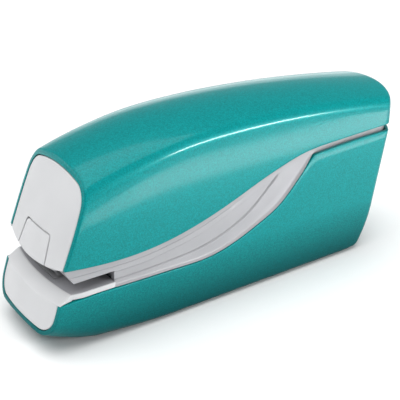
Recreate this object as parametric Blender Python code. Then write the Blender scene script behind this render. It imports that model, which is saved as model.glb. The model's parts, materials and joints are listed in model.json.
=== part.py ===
"""Battery electric stapler, built as an assembly of separate parts.

The script works in millimetres and turns them into metres when a mesh is made.
X is across, the nose faces -Y, Z is up. The origin is on the desk under the middle of the object.
"""

import math

import bmesh
import bpy
import numpy as np
from mathutils import Matrix, Vector

MM = 0.001
GAP = 0.3  # between parts that touch
SEAM = 0.5  # between the casing's visible edges

# ---------------------------------------------------------------- outer form
HALF_WIDTH = 26.6
SHELL_WALL = 2.0
CROWN_RADIUS = 60.0
WIDEST_Z = 50.0
LOW_SIDE_RADIUS = 1200.0  # of the nearly upright side under the widest level
NOSE_RAKE = 0.41
NOSE_Y, NOSE_Z = -88.9, 39.2
BASE_RAKE = 0.35
BASE_FRONT_Y, BASE_FRONT_Z = -96.5, 11.2
FRONT_BOW = 0.004  # mm of set-back per mm squared off the middle
REAR_Y = 97.5
REAR_BOW = 9.2
REAR_RAKE = 0.19
REAR_RAKE_Z = 60.7
REAR_TUCK, REAR_TUCK_Z = 0.011, 22.0
SHELL_BOTTOM_Z = 0.85
HULL_START_Y, HULL_LENGTH, HULL_RISE = -71.0, 26.0, 8.8
TAIL_START_Y, TAIL_LENGTH, TAIL_RISE = 64.0, 16.0, 3.6
EDGE_CORNER_Y = 41.7
REAR_FRAME_HALF, REAR_FRAME_INSET = 22.7, 3.0

TOP_LINE = ((-95, 67.4), (-73, 77.1), (-53, 82.5), (-34, 85.8), (-12, 87.4), (12, 87.5),
            (50, 85.5), (77, 82.8), (98, 80.1))
COVER_EDGE = ((-92, 40.1), (-77, 38.2), (-55, 37.2), (-32, 40.0), (-2, 49.1), (13, 54.8),
              (25, 58.7), (35, 61.3), (51, 62.8), (98, 64.4))
SHELL_EDGE_FRONT = ((-97, 23.2), (-88, 24.0), (-76, 24.6), (-52, 24.2), (-32, 23.8), (-17, 24.0), (-2, 27.6),
                    (13, 33.9), (22, 38.9), (34, 50.7), (41.7, 59.0))
SHELL_EDGE_REAR = ((41.7, 59.0), (64, 60.4), (98, 60.8))
PANEL_LOW = ((-92, 27.4), (-63.5, 27.6), (-46.5, 27.8), (-36.4, 28.2), (-27.4, 28.8), (-18.2, 30.2),
             (-7.4, 33.4), (3.6, 38.7), (9, 42.6), (14.5, 47.6), (22.5, 54.9))
PANEL_HIGH = ((-92, 31.6), (-63.3, 31.7), (-47.4, 32.0), (-36.3, 33.6), (-26, 35.3), (-12.9, 39.4),
              (-2.1, 43.7), (6.1, 47.4), (14.4, 51.1), (22.5, 55.1))

# ---------------------------------------------------------------- paper slot and base insert
SLOT_FLOOR_Z, SLOT_ROOF_Z, SLOT_END_Y = 27.2, 32.2, -63.6
INSERT_TOP_Y = -84.4
INSERT_THICK = 2.2
INSERT_UNDER = {5: (0.99, 1.8, -1.6), 6: (0.955, 0.8, -INSERT_THICK)}  # row: width share, back, up
CHIN_Y, CHIN_SLOPE = -82.4, -0.62

# ---------------------------------------------------------------- staple magazine
CHANNEL_HALF, CHANNEL_WALL = 7.8, 0.8
CHANNEL_LOW_Z, CHANNEL_TOP_Z = 32.5, 39.9
CHANNEL_FRONT_Y, MAG_REAR_Y = -80.4, -19.0
STAPLE_HALF, STAPLE_WIRE, STAPLE_LEG = 6.45, 0.5, 6.0
STRIP_FRONT_Y, STRIP_LENGTH = -79.6, 22.0
PUSHER_LENGTH = 8.0
ROD_RADIUS = 0.8
DRIVER_Y, DRIVER_HALF = -81.3, 6.4
DRIVER_TRAVEL = 7.0
DOOR_TOP_Z = 48.5
DOOR_TOP_HALF, DOOR_LOW_HALF = 10.6, 12.6

# ---------------------------------------------------------------- drive, with points as (y, z)
PINION_TEETH, GEAR_TEETH, MODULE = 10, 36, 1.0
MESH_DISTANCE = MODULE * (PINION_TEETH + GEAR_TEETH) / 2 + 0.3
SHAFT_RADIUS = 1.5
CAM_AXIS = (-10.0, 62.0)
ARM_PIVOT = (38.0, 43.0)
ARM_TIP_Z = 47.9
ARM_TRAVEL_AT_CAM = DRIVER_TRAVEL * (ARM_PIVOT[0] - CAM_AXIS[0]) / (ARM_PIVOT[0] - DRIVER_Y)
CAM_LOW_RADIUS = 7.5
CAM_TURN = math.radians(170)
ROLLER_RADIUS = 3.0
GEAR_PLANES = ((9.3, 11.3), (11.6, 13.6), (13.9, 15.9))
PLATE_PLANES = {"left": (-9.0, -7.6), "mid": (7.6, 9.0), "right": (16.3, 17.7)}
MOTOR_RADIUS, MOTOR_FLAT = 12.0, 9.6
TRAIN_ANGLE = math.radians(-12)  # the slope between the cam and gear 2, and between gear 1 and the motor

# ---------------------------------------------------------------- paper sensor
LEVER_X = -16.6
LEVER_PIVOT = (-58.4, 45.0)

# ---------------------------------------------------------------- batteries
CELL_RADIUS, CELL_LENGTH = 7.1, 50.0
CELL_FRONT_Y, CELL_LOW_Z, CELL_PITCH = 9.5, 11.2, 14.7
DOOR_FRONT_Y, DOOR_REAR_Y, BATTERY_DOOR_HALF = 5.5, 63.0, 15.4


# ================================================================ materials
def material(name, colour, roughness, metallic=0.0):
    made = bpy.data.materials.new(name)
    made.use_nodes = True
    shader = made.node_tree.nodes["Principled BSDF"]
    shader.inputs["Base Color"].default_value = (*colour, 1)
    shader.inputs["Roughness"].default_value = roughness
    shader.inputs["Metallic"].default_value = metallic
    return made


for old in list(bpy.data.objects):
    bpy.data.objects.remove(old, do_unlink=True)

TEAL = material("pearl_teal", (0.0, 0.36, 0.36), 0.25, 0.4)
GREY = material("light_grey_plastic", (0.62, 0.62, 0.65), 0.45)
WHITE = material("pale_grey_plastic", (0.78, 0.78, 0.79), 0.4)
DARK = material("dark_plastic", (0.03, 0.03, 0.035), 0.5)
STEEL = material("bright_steel", (0.62, 0.62, 0.62), 0.3, 1.0)
NYLON = material("natural_nylon", (0.8, 0.78, 0.7), 0.5)
RUBBER = material("foot_rubber", (0.04, 0.04, 0.04), 0.8)
BOARD = material("board_green", (0.02, 0.2, 0.08), 0.5)
LABEL = material("cell_sleeve", (0.1, 0.1, 0.11), 0.4)
BRASS = material("brass", (0.7, 0.5, 0.2), 0.3, 1.0)


# ================================================================ mesh helpers
def add_object(name, bm, look, smooth=False):
    """Makes an object of a bmesh drawn in millimetres."""
    bmesh.ops.recalc_face_normals(bm, faces=bm.faces)
    if bm.calc_volume(signed=True) < 0:
        bmesh.ops.reverse_faces(bm, faces=bm.faces)
    bmesh.ops.scale(bm, vec=(MM, MM, MM), verts=bm.verts)
    mesh = bpy.data.meshes.new(name)
    bm.to_mesh(mesh)
    bm.free()
    if smooth:
        mesh.shade_smooth()
        mesh.set_sharp_from_angle(angle=math.radians(35))
    mesh.materials.append(look)
    obj = bpy.data.objects.new(name, mesh)
    bpy.context.scene.collection.objects.link(obj)
    return obj


def set_origin(obj, point):
    """Moves an object's origin to a point, and leaves its shape where it is."""
    place = Vector(point) * MM
    obj.data.transform(Matrix.Translation(-place))
    obj.location = place
    return obj


def prism(outline, axis, low, high):
    """A bmesh that extrudes an outline along X, Y or Z. The outline's pairs are the other two axes."""
    bm = bmesh.new()
    place = {"X": 0, "Y": 1, "Z": 2}[axis]
    rings = []
    for depth in (low, high):
        points = [list(pair) for pair in outline]
        for point in points:
            point.insert(place, depth)
        rings.append([bm.verts.new(point) for point in points])
    bm.faces.new(rings[0])
    bm.faces.new(rings[1][::-1])
    count = len(outline)
    for i in range(count):
        j = (i + 1) % count
        bm.faces.new((rings[0][i], rings[0][j], rings[1][j], rings[1][i]))
    return bm


def rectangle(a0, a1, b0, b1):
    return [(a0, b0), (a1, b0), (a1, b1), (a0, b1)]


def circle(a, b, radius, sides, start=0.0):
    steps = [start + math.tau * i / sides for i in range(sides)]
    return [(a + radius * math.cos(s), b + radius * math.sin(s)) for s in steps]


def block(x0, x1, y0, y1, z0, z1):
    return prism(rectangle(y0, y1, z0, z1), "X", x0, x1)


def bevelled(obj, width, segments=1):
    modifier = obj.modifiers.new("edge_bevel", "BEVEL")
    modifier.width = width * MM
    modifier.segments = segments
    modifier.limit_method = "ANGLE"
    modifier.angle_limit = math.radians(40)
    return obj


def combine(obj, bm, operation, name="cutter"):
    """Adds or cuts a shape with an exact Boolean. The helper stays hidden."""
    helper = add_object(f"{obj.name}_{name}", bm, obj.data.materials[0])
    helper.hide_render = True
    helper.display_type = "WIRE"
    modifier = obj.modifiers.new(name, "BOOLEAN")
    modifier.operation = operation
    modifier.object = helper
    return obj


def grid_faces(bm, rows):
    """Fills the quads between successive rows of vertices."""
    for low, high in zip(rows, rows[1:]):
        for j in range(len(low) - 1):
            corners = []
            for vert in (low[j], low[j + 1], high[j + 1], high[j]):
                if vert not in corners:
                    corners.append(vert)
            if len(corners) > 2:
                bm.faces.new(corners)


# ================================================================ curves of the outer form
def smooth_curve(points):
    """A natural cubic spline through a few (y, z) points."""
    knots = np.array(points, float)
    gaps = np.diff(knots[:, 0])
    slopes = np.diff(knots[:, 1]) / gaps
    count = len(knots)
    system = np.eye(count)
    right = np.zeros(count)
    for i in range(1, count - 1):
        system[i, i - 1 : i + 2] = gaps[i - 1], 2 * (gaps[i - 1] + gaps[i]), gaps[i]
        right[i] = 6 * (slopes[i] - slopes[i - 1])
    bends = np.linalg.solve(system, right)

    def height(y):
        i = int(np.clip(np.searchsorted(knots[:, 0], y) - 1, 0, count - 2))
        a, b, gap = y - knots[i, 0], knots[i + 1, 0] - y, gaps[i]
        cubic = (bends[i] * b**3 + bends[i + 1] * a**3) / (6 * gap)
        low, high = (knots[k, 1] / gap - bends[k] * gap / 6 for k in (i, i + 1))
        return float(cubic + low * b + high * a)

    return height


def blend(y, start, end):
    share = min(max((y - start) / (end - start), 0.0), 1.0)
    return share * share * (3 - 2 * share)


top_line = smooth_curve(TOP_LINE)
cover_edge = smooth_curve(COVER_EDGE)
shell_edge_front = smooth_curve(SHELL_EDGE_FRONT)
shell_edge_rear = smooth_curve(SHELL_EDGE_REAR)
panel_low_line = smooth_curve(PANEL_LOW)
panel_high_line = smooth_curve(PANEL_HIGH)


def shell_edge(y):
    return shell_edge_front(y) if y < EDGE_CORNER_Y else shell_edge_rear(y)


def hull_line(y):
    bow = max(HULL_START_Y - y, 0.0) / HULL_LENGTH
    tail = max(y - TAIL_START_Y, 0.0) / TAIL_LENGTH
    return SHELL_BOTTOM_Z + HULL_RISE * bow**1.6 + TAIL_RISE * tail**3


def side_x(y, z, inset=0.0):
    """Half the width of the body at a height, inset from the outer skin."""
    radius = 110 + 390 * blend(y, -80, -20) if z > WIDEST_Z else LOW_SIDE_RADIUS
    return HALF_WIDTH - radius + math.sqrt((radius - inset) ** 2 - (z - WIDEST_Z) ** 2)


def nose_y(x, z):
    return NOSE_Y + NOSE_RAKE * (z - NOSE_Z) + FRONT_BOW * x * x


def base_front_y(x, z):
    return BASE_FRONT_Y + BASE_RAKE * (z - BASE_FRONT_Z) + FRONT_BOW * x * x


def rear_y(x, z, inset=0.0):
    lean = REAR_RAKE * max(REAR_RAKE_Z - z, 0.0) + REAR_TUCK * max(REAR_TUCK_Z - z, 0.0) ** 2
    return REAR_Y - inset - lean - REAR_BOW * abs(x / HALF_WIDTH) ** 3


def arch_point(part, share, y, inset):
    """A point on the right half of the cover's section: up its side, round its shoulder, over its crown."""
    side_radius = 110 + 390 * blend(y, -80, -20)
    shoulder = 12 - 5 * blend(y, -75, -20)
    side_centre = np.array([HALF_WIDTH - side_radius, WIDEST_Z])
    crown_centre = np.array([0.0, top_line(y) - CROWN_RADIUS])
    between = crown_centre - side_centre
    distance = np.linalg.norm(between)
    near, far = side_radius - shoulder, CROWN_RADIUS - shoulder
    along = (near**2 - far**2 + distance**2) / (2 * distance)
    off = math.sqrt(near**2 - along**2)
    unit = between / distance
    centre = side_centre + along * unit + off * np.array([-unit[1], unit[0]])
    if centre[1] < side_centre[1]:
        centre = side_centre + along * unit - off * np.array([-unit[1], unit[0]])
    low_angle = math.atan2(*(centre - side_centre)[::-1])
    high_angle = math.atan2(*(centre - crown_centre)[::-1])
    if part == "side":
        top = side_centre[1] + math.sin(low_angle) * (side_radius - inset)
        z = cover_edge(y) + share * (top - cover_edge(y))
        radius = side_radius if z > WIDEST_Z else LOW_SIDE_RADIUS
        return HALF_WIDTH - radius + math.sqrt((radius - inset) ** 2 - (z - WIDEST_Z) ** 2), z
    if part == "shoulder":
        angle = low_angle + share * (high_angle - low_angle)
        return tuple(centre + (shoulder - inset) * np.array([math.cos(angle), math.sin(angle)]))
    angle = high_angle + share * (math.pi / 2 - high_angle)
    return tuple(crown_centre + (CROWN_RADIUS - inset) * np.array([math.cos(angle), math.sin(angle)]))


def keel_point(part, share, y, inset):
    """A point on the right half of the lower shell's section: its side, its bilge, its flat bottom."""
    radius = 2.6 + 8.4 * (1 - blend(y, -97, -35))
    low = hull_line(y) + inset
    bilge = radius - inset
    turn_z = hull_line(y) + radius
    if part == "side":
        z = shell_edge(y) + share * (turn_z - shell_edge(y))
        return side_x(y, z, inset), z
    turn_x = side_x(y, turn_z, 0.0) - radius
    if part == "bilge":
        angle = share * math.pi / 2
        return turn_x + bilge * math.cos(angle), turn_z - bilge * math.sin(angle)
    return turn_x * (1 - share), low


def station_point(section, key, place, front, rear, inset):
    """A point of a section at a share of the way from the front face to the rear face."""
    y = front(0, 40) + place * (rear(0, 40) - front(0, 40))
    for _ in range(12):
        x, z = section(*key, y, inset)
        y = front(x, z) + place * (rear(x, z, inset) - front(x, z))
    return x, y, z


def shell_mesh(section, halves, middle, stations, front, rear):
    """An open-fronted shell with a closed rear: two skins a wall apart, and the rims between them."""
    bm = bmesh.new()
    skins = []
    for inset in (0.0, SHELL_WALL):
        rows = []
        for place in stations:
            right = [station_point(section, key, place, front, rear, inset) for key in halves + middle]
            left = [(-x, y, z) for x, y, z in right[-2::-1]]
            rows.append([bm.verts.new(point) for point in right + left])
        grid_faces(bm, rows)
        last = rows[-1]
        columns = 2 * len(middle) + 1
        cap = []
        for j in range(len(halves) - 1):
            first, other = last[j], last[-1 - j]
            row = [first]
            for k in range(1, columns - 1):
                x = first.co.x * (1 - 2 * k / (columns - 1))
                z = first.co.z
                row.append(bm.verts.new((x, rear(x, z, inset), z)))
            cap.append(row + [other])
        start = len(halves) - 1
        cap.append(last[start : start + columns])
        grid_faces(bm, cap)
        skins.append((rows, cap[0]))
    (outer, outer_cap), (inner, inner_cap) = skins
    grid_faces(bm, [outer[0], inner[0]])
    for side in (0, -1):
        grid_faces(bm, [[row[side] for row in outer], [row[side] for row in inner]])
    grid_faces(bm, [outer_cap, inner_cap])
    return bm


def shares(count, first=0):
    return [i / count for i in range(first, count + 1)]


# ================================================================ casing
def make_top_cover():
    halves = [("side", s) for s in shares(4)] + [("shoulder", s) for s in shares(4, 1)]
    crown = [("crown", s) for s in shares(3, 1)]
    stations = [0, 0.03, 0.07, 0.12, 0.19, 0.27, 0.36, 0.45, 0.54, 0.63, 0.71, 0.79, 0.88, 0.95, 1]
    bm = shell_mesh(arch_point, halves, crown, stations, nose_y, rear_y)
    return add_object("top_cover", bm, TEAL, smooth=True)


def make_bottom_shell():
    halves = [("side", s) for s in shares(3)] + [("bilge", s) for s in shares(3, 1)]
    flat = [("flat", s) for s in shares(2, 1)]
    corner_z = shell_edge(EDGE_CORNER_Y)
    corner_x = side_x(EDGE_CORNER_Y, corner_z)
    front, rear = base_front_y(corner_x, corner_z), rear_y(corner_x, corner_z)
    corner = (EDGE_CORNER_Y - front) / (rear - front)
    stations = [0, 0.03, 0.07, 0.12, 0.18, 0.26, 0.34, 0.42, 0.49, 0.55, 0.6, 0.64, 0.68, corner]
    stations += [corner + 0.006, 0.8, 0.88, 0.95, 1]
    bm = shell_mesh(keel_point, halves, flat, stations, base_front_y, rear_y)
    return add_object("bottom_shell", bm, TEAL, smooth=True)


def span_rows(rows, front, depth):
    """A plate whose rows of (x, z) points lie on a front surface, and again behind it."""
    bm = bmesh.new()
    faces = []
    for shift in (0.0, depth):
        grid = [[bm.verts.new((x, front(x, z) + shift, z)) for x, z in row] for row in rows]
        grid_faces(bm, grid)
        faces.append(grid)
    for side in (0, -1):
        grid_faces(bm, [[row[side] for row in faces[0]], [row[side] for row in faces[1]]])
        grid_faces(bm, [faces[0][side], faces[1][side]])
    return bm


def level_row(half, z, columns):
    return [(half * (1 - 2 * k / columns), z) for k in range(columns + 1)]


def nose_low_edge(x):
    return 36.2 + 0.0044 * x * x


def make_nose_plate():
    inset = SHELL_WALL + GAP
    columns = 8
    edge = [("side", s) for s in shares(3)] + [("shoulder", s) for s in shares(3, 1)]
    rows = []
    for key in edge:
        x, _, z = station_point(arch_point, key, 0.0, nose_y, rear_y, inset)
        rows.append(level_row(x, z, columns))
    half = rows[0][0][0]
    rows.insert(0, [(x, nose_low_edge(x)) for x, _ in level_row(half - 0.1, 0, columns)])
    crown = [station_point(arch_point, ("crown", s), 0.0, nose_y, rear_y, inset) for s in shares(4)]
    arc = [(x, z) for x, _, z in crown]
    rows[-1] = arc + [(-x, z) for x, z in arc[-2::-1]]
    bm = span_rows(rows, lambda x, z: nose_y(x, z) + GAP, 2.0)
    plate = add_object("nose_plate", bm, WHITE)
    low, top = DOOR_LOW_HALF, DOOR_TOP_HALF
    opening = [(-low - 0.3, 34.0), (low + 0.3, 34.0), (top, DOOR_TOP_Z - 1), (top - 1, DOOR_TOP_Z),
               (1 - top, DOOR_TOP_Z), (-top, DOOR_TOP_Z - 1)]
    return combine(plate, prism(opening, "Y", -100, -70), "DIFFERENCE", "door_opening")


def insert_rows():
    """The insert's top surface as rows of points, from the foot of its front face back to its rear edge."""
    inset = SHELL_WALL + GAP
    columns = 8
    outline = [("bilge", 1.0), ("bilge", 0.66), ("bilge", 0.33), ("bilge", 0.0), ("side", 0.5)]
    rows = []
    for key in outline:
        x, _, z = station_point(keel_point, key, 0.0, base_front_y, rear_y, inset)
        rows.append([(a, base_front_y(a, b) + GAP, b) for a, b in level_row(x, z, columns)])
    brow = []
    for a, _ in level_row(23.5, 0, columns):
        b = 20.6 + 3.6 * (a / 23.5) ** 2
        brow.append((a, base_front_y(a, b) + GAP, b))
    rows.append(brow)
    rows.append([(a, INSERT_TOP_Y + 0.0015 * a * a, SLOT_FLOOR_Z) for a, _ in level_row(24.4, 0, columns)])
    for y in (-80.0, -72.0, SLOT_END_Y - GAP):
        half = side_x(y, SLOT_FLOOR_Z) - 0.5
        rows.append([(a, y, SLOT_FLOOR_Z) for a, _ in level_row(half, 0, columns)])
    return rows


def make_base_insert():
    rows = insert_rows()
    bm = bmesh.new()
    top = [[bm.verts.new(point) for point in row] for row in rows]
    under = []
    for index, row in enumerate(rows):
        narrow, back, down = (1, 2.0, 0.0) if index < 5 else INSERT_UNDER.get(index, (1, 0.0, -INSERT_THICK))
        under.append([bm.verts.new((x * narrow, y + back, z + down)) for x, y, z in row])
    grid_faces(bm, top)
    grid_faces(bm, under)
    for side in (0, -1):
        grid_faces(bm, [[row[side] for row in top], [row[side] for row in under]])
        grid_faces(bm, [top[side], under[side]])
    insert = add_object("base_insert", bm, WHITE)
    return combine(insert, block(-9.3, 9.3, -83.6, -78.2, 26.0, 30.0), "DIFFERENCE", "anvil_pocket")


def frame_profile(y):
    """The side frame's section as (z, inset) pairs, from its lower lap to its upper lap."""
    low, high = shell_edge(y) + SEAM, cover_edge(y) - SEAM
    rear = blend(y, 34, 48)
    sunk = 1.3 + 1.2 * rear
    panel = sunk + 0.9 * (1 - blend(y, 10, 21))
    panel_low, panel_high = panel_low_line(y), panel_high_line(y)
    open_lines = (low + 1.8, panel_low - 0.4, panel_low, panel_high, panel_high + 0.4)
    tail = [low + share * (high - low) for share in (0.3, 0.42, 0.5, 0.58, 0.7)]
    fade = blend(y, 14, 24)
    lines = [a + fade * (b - a) for a, b in zip(open_lines, tail)]
    lap = SHELL_WALL + 0.5
    return [(low - 4, max(lap, sunk)), (low, max(lap, sunk)), (low, 0.5 + rear * 2.0), (lines[0], sunk),
            (lines[1], sunk), (lines[2], panel), (lines[3], panel), (lines[4], sunk), (high, sunk),
            (high, max(lap, sunk)), (high + 4, max(lap, sunk))]


def frame_stations():
    return [-87.5, -80, -72, SLOT_END_Y, -55, -45, -32, -20, -10, 0, 8, 14, 20, 26, 32, 36,
            EDGE_CORNER_Y - 0.01, EDGE_CORNER_Y + 0.6, 50, 60, 72, 79, 85.8]


def make_side_frame(name, side):
    wall = 2.2
    bm = bmesh.new()
    outer, inner = [], []
    for y in frame_stations():
        profile = frame_profile(y)
        outer.append([bm.verts.new((side * side_x(y, z, inset), y, z)) for z, inset in profile])
        depth = max(inset for _, inset in profile) + wall
        levels = [z + 0.001 * k for k, (z, _) in enumerate(profile)]
        inner.append([bm.verts.new((side * side_x(y, z, depth), y, z)) for z in levels])
    grid_faces(bm, outer)
    grid_faces(bm, inner)
    for end in (0, -1):
        grid_faces(bm, [outer[end], inner[end]])
        grid_faces(bm, [[row[end] for row in outer], [row[end] for row in inner]])
    frame = add_object(name, bm, GREY)
    x0, x1 = sorted((side * 13.4, side * 23.0))
    combine(frame, block(x0, x1, -90, -74, 31, 38.8), "UNION", "chin_block")
    chin_top = CHIN_Y + CHIN_SLOPE * (40 - SLOT_ROOF_Z)
    slot = [(-110, 20), (SLOT_END_Y, 20), (SLOT_END_Y, SLOT_ROOF_Z), (CHIN_Y, SLOT_ROOF_Z), (chin_top, 40),
            (-110, 40)]
    combine(frame, prism(slot, "X", -40, 40), "DIFFERENCE", "paper_slot")
    combine(frame, block(-24.6, 24.6, -110, -84.0, 36.4, 60), "DIFFERENCE", "plate_pocket")
    combine(frame, block(-40, 40, -110, -80.6, 38.9, 60), "DIFFERENCE", "nose_pocket")
    return frame


def make_rear_frame():
    """The strip that closes the gap between the cover and the lower shell across the rear."""
    low, high = shell_edge(REAR_Y) + SEAM, cover_edge(REAR_Y) - SEAM
    rows = [level_row(REAR_FRAME_HALF, z, 10) for z in (low - 4, low, high, high + 4)]
    bm = span_rows(rows, lambda x, z: rear_y(x, z) - REAR_FRAME_INSET, -2.2)
    add_object("rear_frame", bm, GREY)


def make_casing():
    make_top_cover()
    shell = make_bottom_shell()
    half = BATTERY_DOOR_HALF + GAP
    hatch = block(-half, half, DOOR_FRONT_Y - GAP, DOOR_REAR_Y + GAP, -5, 4)
    combine(shell, hatch, "DIFFERENCE", "battery_hatch")
    make_nose_plate()
    make_base_insert()
    make_side_frame("side_frame_right", 1)
    make_side_frame("side_frame_left", -1)
    make_rear_frame()
    bevelled(add_object("anvil_plate", block(-9, 9, -83.3, -78.5, 26.3, SLOT_FLOOR_Z + 0.1), STEEL), 0.3)
    notch_low, notch_high = LEVER_X - 1.2, LEVER_X + 3.0
    half, low, high = 21.2, 26.2, SLOT_ROOF_Z - GAP
    notch_z = SLOT_FLOOR_Z + 0.4
    outline = [(-half, low), (half, low), (half, high), (notch_high, high), (notch_high, notch_z),
               (notch_low, notch_z), (notch_low, high), (-half, high)]
    add_object("paper_stop", prism(outline, "Y", SLOT_END_Y + 1.0, SLOT_END_Y + 2.6), GREY)
    for number, (x, y) in enumerate(((-14, -58), (14, -58), (-14, 68), (14, 68)), 1):
        foot = prism(circle(x, y, 3.6, 12), "Z", 0.0, SHELL_BOTTOM_Z - 0.15)
        add_object(f"rubber_foot_{number}", foot, RUBBER)


# ================================================================ magazine
def make_magazine():
    wall, half = CHANNEL_WALL, CHANNEL_HALF
    low, top = CHANNEL_LOW_Z, CHANNEL_TOP_Z
    channel = [(-half, low), (half, low), (half, top), (half - wall, top), (half - wall, low + wall),
               (wall - half, low + wall), (wall - half, top), (-half, top)]
    add_object("magazine_channel", prism(channel, "Y", CHANNEL_FRONT_Y, MAG_REAR_Y), STEEL)

    leg_z = low + wall + GAP
    crown_z = leg_z + STAPLE_LEG
    inner = STAPLE_HALF - STAPLE_WIRE
    rail_half, rail_top = inner - GAP, crown_z - STAPLE_WIRE - GAP
    rail = [(-rail_half, leg_z), (-rail_half, rail_top), (rail_half, rail_top), (rail_half, leg_z),
            (rail_half - 0.8, leg_z), (rail_half - 0.8, rail_top - 0.8), (0.8 - rail_half, rail_top - 0.8),
            (0.8 - rail_half, leg_z)]
    rail_rear = MAG_REAR_Y - 4.9
    strip_rear = STRIP_FRONT_Y + STRIP_LENGTH
    staple_rail = add_object("staple_rail", prism(rail, "Y", STRIP_FRONT_Y, rail_rear), STEEL)
    slot = block(-1.5, 1.5, strip_rear - 1, rail_rear - 2, leg_z + 3, crown_z)
    combine(staple_rail, slot, "DIFFERENCE", "slot")

    under = crown_z - STAPLE_WIRE
    staples = [(-STAPLE_HALF, leg_z), (-inner, leg_z), (-inner, under), (inner, under), (inner, leg_z),
               (STAPLE_HALF, leg_z), (STAPLE_HALF, crown_z), (-STAPLE_HALF, crown_z)]
    add_object("staple_strip", prism(staples, "Y", STRIP_FRONT_Y, strip_rear), STEEL)

    rod_z = leg_z + 2.0
    side = [(inner, crown_z - STAPLE_WIRE), (inner, leg_z), (STAPLE_HALF, leg_z), (STAPLE_HALF, crown_z)]
    stem = [(1.1, crown_z - STAPLE_WIRE), (1.1, rail_top - 1.1), (2.6, rail_top - 1.1), (2.6, leg_z + 0.3),
            (1.2, leg_z + 0.3), (1.2, rod_z + 1.1)]
    right = stem[::-1] + side
    pusher_front = strip_rear + GAP
    pusher = prism(right + [(-x, z) for x, z in right[::-1]], "Y", pusher_front, pusher_front + PUSHER_LENGTH)
    set_origin(add_object("staple_pusher", pusher, DARK), (0, pusher_front, rod_z))

    rod = prism(circle(0, rod_z, ROD_RADIUS, 8), "Y", STRIP_FRONT_Y + 0.6, rail_rear)
    add_object("pusher_rod", rod, STEEL, smooth=True)
    spring_front = pusher_front + PUSHER_LENGTH + GAP
    add_spring("pusher_spring", (0, spring_front, rod_z), "Y", rail_rear - 0.2 - spring_front, 1.5, 0.2, 9)

    guide_in, guide_out, guide_rear = half + 0.4, half + 5.0, MAG_REAR_Y + 0.6
    front = CHANNEL_FRONT_Y + 1.4
    left = [(-guide_out, front), (-guide_in, front), (-guide_in, guide_rear)]
    right = [(guide_in, guide_rear), (guide_in, front), (guide_out, front)]
    outline = left + right + [(guide_out, guide_rear + 3), (-guide_out, guide_rear + 3)]
    add_object("magazine_guide", prism(outline, "Z", low + 0.4, low + 4.2), DARK)

    rear = block(-half + 0.9, half - 0.9, rail_rear + GAP, MAG_REAR_Y - 0.5, low + wall + GAP, top + 1.2)
    bevelled(add_object("magazine_rear", rear, DARK), 0.4)
    make_magazine_front()
    make_driver_blade()


def add_spring(name, base, axis, length, radius, wire, turns):
    """A compression coil of round wire from a base point along Y or Z, its ends inside the given length."""
    per_turn, sides = 8, 4
    rings = []
    bm = bmesh.new()
    for i in range(turns * per_turn + 1):
        angle = math.tau * i / per_turn
        along = wire + (length - 2 * wire) * i / (turns * per_turn)
        ring = []
        for k in range(sides):
            spin = math.tau * (k + 0.5) / sides
            out = radius + wire * math.cos(spin)
            up = along + wire * math.sin(spin)
            a, b = out * math.cos(angle), out * math.sin(angle)
            x, y, z = (a, up, b) if axis == "Y" else (a, b, up)
            ring.append(bm.verts.new((base[0] + x, base[1] + y, base[2] + z)))
        rings.append(ring + [ring[0]])
    grid_faces(bm, rings)
    bm.faces.new(rings[0][:-1])
    bm.faces.new(rings[-1][:-1])
    return set_origin(add_object(name, bm, STEEL, smooth=True), base)


def door_y(x, z):
    """The magazine front's outer face: on the nose above its lower edge, along the chin under it."""
    edge = nose_low_edge(x)
    if z >= edge:
        return nose_y(x, z) + GAP
    return nose_y(x, edge) + GAP + (edge - z) * 1.1


def make_magazine_front():
    columns = 6
    heights = [CHANNEL_LOW_Z, 34.4, 36.3, 37.2, 42.0, DOOR_TOP_Z - 1.3, DOOR_TOP_Z - GAP]
    rows = []
    for z in heights:
        share = (z - 36.0) / (DOOR_TOP_Z - 36.0)
        half = DOOR_LOW_HALF - max(share, 0) * (DOOR_LOW_HALF - DOOR_TOP_HALF) - GAP
        rows.append(level_row(half - (1.0 if z > DOOR_TOP_Z - 1 else 0.0), z, columns))
    front = add_object("magazine_front", span_rows(rows, door_y, 2.0), WHITE)
    for side in (-1, 1):
        x0, x1 = sorted((side * (DRIVER_HALF + GAP), side * 10.0))
        name = "guide_right" if side > 0 else "guide_left"
        guide = block(x0, x1, -86.0, CHANNEL_FRONT_Y - GAP, CHANNEL_LOW_Z + 0.1, DOOR_TOP_Z - 1.1)
        combine(front, guide, "UNION", name)
    return combine(front, block(-6.8, 6.8, -84.6, -79, 28, 50), "DIFFERENCE", "driver_way")


def make_driver_blade():
    y, low, top = DRIVER_Y, CHANNEL_TOP_Z + GAP, ARM_TIP_Z - GAP
    side_view = [(y - 0.5, low), (y + 0.5, low), (y + 0.5, top - 2.4), (y + 1.1, top - 2.0), (y + 1.1, top),
                 (y - 1.0, top), (y - 1.0, top - 2.0), (y - 0.5, top - 2.4)]
    blade = add_object("driver_blade", prism(side_view, "X", -DRIVER_HALF, DRIVER_HALF), STEEL)
    return set_origin(blade, (0, DRIVER_Y, top))


# ================================================================ drive
def gear_outline(centre, teeth, phase):
    """A spur gear's outline with one tooth centred at the phase angle."""
    pitch = math.tau / teeth
    radius = MODULE * teeth / 2
    root, tip = radius - 1.15 * MODULE, radius + 0.85 * MODULE
    points = []
    for k in range(teeth):
        middle = phase + k * pitch
        for distance, offset in ((root, -0.29), (tip, -0.11), (tip, 0.11), (root, 0.29)):
            angle = middle + offset * pitch
            points.append((centre[0] + distance * math.cos(angle), centre[1] + distance * math.sin(angle)))
    return points


def next_axis(axis, angle):
    return axis[0] + MESH_DISTANCE * math.cos(angle), axis[1] + MESH_DISTANCE * math.sin(angle)


def x_rod(name, axis, radius, x0, x1, look, sides=12):
    rod = add_object(name, prism(circle(*axis, radius, sides), "X", x0, x1), look, smooth=True)
    return set_origin(rod, (0, *axis))


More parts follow.
